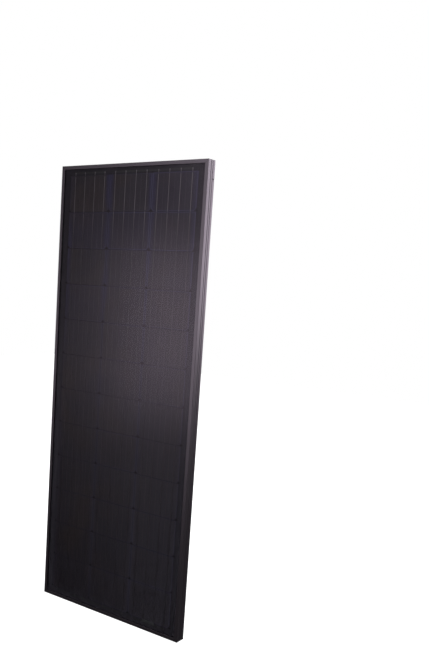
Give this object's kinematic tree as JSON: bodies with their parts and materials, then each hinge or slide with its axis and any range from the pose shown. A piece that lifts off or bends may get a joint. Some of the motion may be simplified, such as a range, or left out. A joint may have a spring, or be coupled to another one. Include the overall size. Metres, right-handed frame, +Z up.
{
  "type": "solar panel",
  "caption": "Framed all-black solar panel standing upright: glass front, silicon cells and ribbons, backsheet, and a rear junction box with hinged lid and cable glands.",
  "frame": {"origin": "centre of the bottom edge's rectangle, on the plane that the panel stands on", "axes": "+Z up along the panel's length, -Y out of the glass, +Y out of the back, +X to the right of someone facing the glass"},
  "size_m": [0.541, 0.035, 1.385],
  "materials": {
    "black_anodised": "black anodised, satin, with faint draw lines along the extrusion",
    "plain_aluminium": "mill finish",
    "black_sealant": "cured silicone",
    "solar_glass": "tempered low-iron glass with a fine texture",
    "clear_encapsulant": "clear film",
    "silicon_cell": "blue-black coating with fine print lines",
    "tinned_ribbon": "dull tin",
    "blackened_ribbon": "black coating",
    "black_backsheet": "fine matte film",
    "label_film": "printed film, left blank",
    "box_plastic": "fine moulded grain",
    "gland_plastic": "moulded",
    "seal_rubber": "smooth",
    "steel_pin": "drawn",
    "tinned_clip": "dull tin",
    "diode_body": "moulded epoxy"
  },
  "bodies": {
    "panel": {"backsheet": "black_backsheet", "box_adhesive": "black_sealant", "box_rim_seal": "seal_rubber", "bypass_diodes": "diode_body", "cable_glands": "gland_plastic", "cell_ribbons": "tinned_ribbon", "cell_row01_col1": "silicon_cell", "cell_row01_col2": "silicon_cell", "cell_row01_col3": "silicon_cell", "cell_row02_col1": "silicon_cell", "cell_row02_col2": "silicon_cell", "cell_row02_col3": "silicon_cell", "cell_row03_col1": "silicon_cell", "cell_row03_col2": "silicon_cell", "cell_row03_col3": "silicon_cell", "cell_row04_col1": "silicon_cell", "cell_row04_col2": "silicon_cell", "cell_row04_col3": "silicon_cell", "cell_row05_col1": "silicon_cell", "cell_row05_col2": "silicon_cell", "cell_row05_col3": "silicon_cell", "cell_row06_col1": "silicon_cell", "cell_row06_col2": "silicon_cell", "cell_row06_col3": "silicon_cell", "cell_row07_col1": "silicon_cell", "cell_row07_col2": "silicon_cell", "cell_row07_col3": "silicon_cell", "cell_row08_col1": "silicon_cell", "cell_row08_col2": "silicon_cell", "cell_row08_col3": "silicon_cell", "cell_row09_col1": "silicon_cell", "cell_row09_col2": "silicon_cell", "cell_row09_col3": "silicon_cell", "cell_row10_col1": "silicon_cell", "cell_row10_col2": "silicon_cell", "cell_row10_col3": "silicon_cell", "cell_row11_col1": "silicon_cell", "cell_row11_col2": "silicon_cell", "cell_row11_col3": "silicon_cell", "cell_row12_col1": "silicon_cell", "cell_row12_col2": "silicon_cell", "cell_row12_col3": "silicon_cell", "corner_keys": "plain_aluminium", "edge_seal": "black_sealant", "frame_end_bottom": "black_anodised", "frame_end_top": "black_anodised", "frame_side_left": "black_anodised", "frame_side_right": "black_anodised", "front_encapsulant": "clear_encapsulant", "front_glass": "solar_glass", "gland_nuts": "gland_plastic", "gland_seals": "seal_rubber", "hinge_pins": "steel_pin", "junction_box_base": "box_plastic", "labels": "label_film", "output_leads": "tinned_ribbon", "rear_encapsulant": "clear_encapsulant", "string_connectors": "blackened_ribbon", "terminals": "tinned_clip"},
    "box_lid": {"junction_box_lid": "box_plastic"}
  },
  "joints": [
    {"name": "box_lid_hinge", "type": "hinge", "parent": "panel", "child": "box_lid", "pos_m": [0, 0.0081, 1.3438], "axis": [1, 0, 0], "range_deg": [0, 125]}
  ]
}
